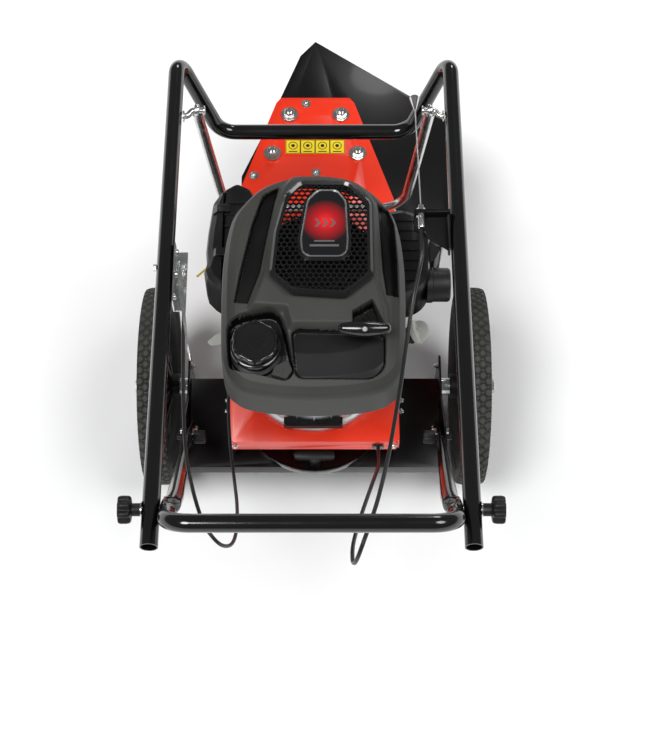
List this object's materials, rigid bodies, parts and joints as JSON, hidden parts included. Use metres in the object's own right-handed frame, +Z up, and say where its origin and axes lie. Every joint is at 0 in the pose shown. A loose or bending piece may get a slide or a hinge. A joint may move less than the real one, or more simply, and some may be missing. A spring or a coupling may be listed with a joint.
{
  "type": "walk-behind trimmer mower",
  "caption": "Wheeled brush trimmer with a vertical-shaft engine, belt-driven cutting-line head, debris shield and a loop handle that folds forward over the engine.",
  "frame": {"origin": "on the ground, at the centre of the object's bounding box", "axes": "+Z up, +Y forward along the machine's length towards the cutting head, +X to the operator's right"},
  "size_m": [0.567, 1.0319, 0.7131],
  "materials": {
    "orange": "gloss orange-red powder coat",
    "black": "gloss black powder coat",
    "plastic": "moulded black plastic, fine texture",
    "grey": "light grey plastic",
    "zinc": "bright zinc plating",
    "steel": "plain machined steel",
    "alloy": "bare cast aluminium",
    "rubber": "black rubber tread",
    "cable": "black cable sheath and belt rubber",
    "line": "yellow nylon cutting line"
  },
  "bodies": {
    "chassis": {"air_cleaner_base": "plastic", "air_screen": "plastic", "axle_bolt_left": "zinc", "axle_bolt_right": "zinc", "belt_guard": "black", "clutch_cable": "cable", "debris_shield": "black", "deck": "orange", "drive_belt": "cable", "engine_block": "alloy", "engine_cover": "plastic", "fold_bolt_left": "zinc", "fold_bolt_right": "zinc", "fuel_tank": "plastic", "leg_bolt_left": "zinc", "leg_bolt_right": "zinc", "lower_handle": "black", "muffler": "black", "oil_filler": "plastic", "rear_frame": "black", "recoil_starter": "plastic", "spindle_bolt_1": "zinc", "spindle_bolt_2": "zinc", "spindle_bolt_3": "zinc", "spindle_bolt_4": "zinc", "spindle_housing": "alloy", "throttle_cable": "cable"},
    "upper_handle": {"upper_handle": "black", "bail_pin_left": "zinc", "bail_pin_right": "zinc", "cable_bracket": "black", "cable_adjuster": "zinc", "clutch_wire": "steel", "throttle_bracket": "zinc"},
    "bail": {"bail": "zinc", "cable_clip": "zinc"},
    "throttle_lever": {"throttle_lever": "zinc"},
    "wheel_left": {"tyre_left": "rubber", "wheel_rim_left": "plastic"},
    "wheel_right": {"tyre_right": "rubber", "wheel_rim_right": "plastic"},
    "crank": {"crankshaft": "steel"},
    "head": {"spindle_pulley": "steel", "spindle_shaft": "steel", "line_head": "steel", "cutting_line_1": "line", "cutting_line_2": "line"},
    "dish": {"support_dish": "steel"},
    "idler": {"idler_arm": "zinc"},
    "idler_wheel": {"idler_pulley": "steel"},
    "recoil": {"recoil_handle": "plastic"},
    "fuel_cap": {"fuel_cap": "plastic"},
    "oil_cap": {"oil_cap": "grey"},
    "air_cover": {"air_cleaner_cover": "plastic"},
    "fuel_valve": {"fuel_valve": "grey"},
    "fold_knob_left": {"fold_knob_left": "plastic"},
    "fold_knob_right": {"fold_knob_right": "plastic"},
    "leg_knob_left": {"leg_knob_left": "plastic"},
    "leg_knob_right": {"leg_knob_right": "plastic"},
    "guard_knob": {"belt_guard_knob": "plastic"}
  },
  "joints": [
    {"name": "handle_fold", "type": "hinge", "parent": "chassis", "child": "upper_handle", "pos_m": [0, -0.4665, 0.6446], "axis": [1, 0, 0], "range_deg": [0, 127]},
    {"name": "bail_squeeze", "type": "hinge", "parent": "upper_handle", "child": "bail", "pos_m": [0, 0.14, 0.5985], "axis": [1, 0, 0], "range_deg": [0, 12], "stiffness_Nm_per_rad": 4},
    {"name": "throttle_swing", "type": "hinge", "parent": "upper_handle", "child": "throttle_lever", "pos_m": [-0.173, -0.1323, 0.62252], "axis": [-1, 0, 0], "range_deg": [0, 45]},
    {"name": "wheel_left_spin", "type": "hinge", "parent": "chassis", "child": "wheel_left", "pos_m": [-0.243, -0.074, 0.1556], "axis": [1, 0, 0], "continuous": true},
    {"name": "wheel_right_spin", "type": "hinge", "parent": "chassis", "child": "wheel_right", "pos_m": [0.243, -0.074, 0.1556], "axis": [1, 0, 0], "continuous": true},
    {"name": "crank_spin", "type": "hinge", "parent": "chassis", "child": "crank", "pos_m": [0, -0.095, 0.25], "axis": [0, 0, 1], "continuous": true},
    {"name": "head_spin", "type": "hinge", "parent": "chassis", "child": "head", "pos_m": [0, 0.3085, 0.17], "axis": [0, 0, 1], "continuous": true},
    {"name": "dish_spin", "type": "hinge", "parent": "chassis", "child": "dish", "pos_m": [0, 0.3085, 0.02], "axis": [0, 0, 1], "continuous": true},
    {"name": "idler_swing", "type": "hinge", "parent": "chassis", "child": "idler", "pos_m": [0.1, 0.03, 0.215], "axis": [0, 0, 1], "range_deg": [0, 5]},
    {"name": "idler_spin", "type": "hinge", "parent": "idler", "child": "idler_wheel", "pos_m": [0.082, 0.1, 0.21], "axis": [0, 0, 1], "continuous": true},
    {"name": "recoil_pull", "type": "slide", "parent": "chassis", "child": "recoil", "axis": [0, -0.8, 0.6], "range_m": [0, 0.35], "stiffness_N_per_m": 20},
    {"name": "fuel_cap_turn", "type": "hinge", "parent": "chassis", "child": "fuel_cap", "pos_m": [-0.078, -0.179, 0.51], "axis": [0, 0, 1], "range_deg": [0, 90]},
    {"name": "oil_cap_turn", "type": "hinge", "parent": "chassis", "child": "oil_cap", "pos_m": [0.146, -0.0676, 0.3231], "axis": [0.868, 0.1866, 0.4601], "range_deg": [0, 90]},
    {"name": "air_cover_open", "type": "hinge", "parent": "chassis", "child": "air_cover", "pos_m": [-0.134, 0.03, 0.33], "axis": [0, -1, 0], "range_deg": [0, 60]},
    {"name": "fuel_valve_turn", "type": "hinge", "parent": "chassis", "child": "fuel_valve", "pos_m": [-0.13, -0.086, 0.352], "axis": [0, 0, 1], "range_deg": [0, 90]},
    {"name": "fold_knob_left_turn", "type": "hinge", "parent": "chassis", "child": "fold_knob_left", "pos_m": [-0.224, -0.4665, 0.6446], "axis": [1, 0, 0], "continuous": true},
    {"name": "fold_knob_right_turn", "type": "hinge", "parent": "chassis", "child": "fold_knob_right", "pos_m": [0.224, -0.4665, 0.6446], "axis": [1, 0, 0], "continuous": true},
    {"name": "leg_knob_left_turn", "type": "hinge", "parent": "chassis", "child": "leg_knob_left", "pos_m": [-0.17, -0.2, 0.2455], "axis": [1, 0, 0], "continuous": true},
    {"name": "leg_knob_right_turn", "type": "hinge", "parent": "chassis", "child": "leg_knob_right", "pos_m": [0.17, -0.2, 0.2455], "axis": [1, 0, 0], "continuous": true},
    {"name": "guard_knob_turn", "type": "hinge", "parent": "chassis", "child": "guard_knob", "pos_m": [0, -0.212, 0.19], "axis": [0, 0, 1], "range_deg": [0, 90]}
  ],
  "couplings": [
    {"joint": "head_spin", "follows": "crank_spin", "ratio": 0.6},
    {"joint": "idler_swing", "follows": "bail_squeeze", "ratio": 0.41}
  ]
}
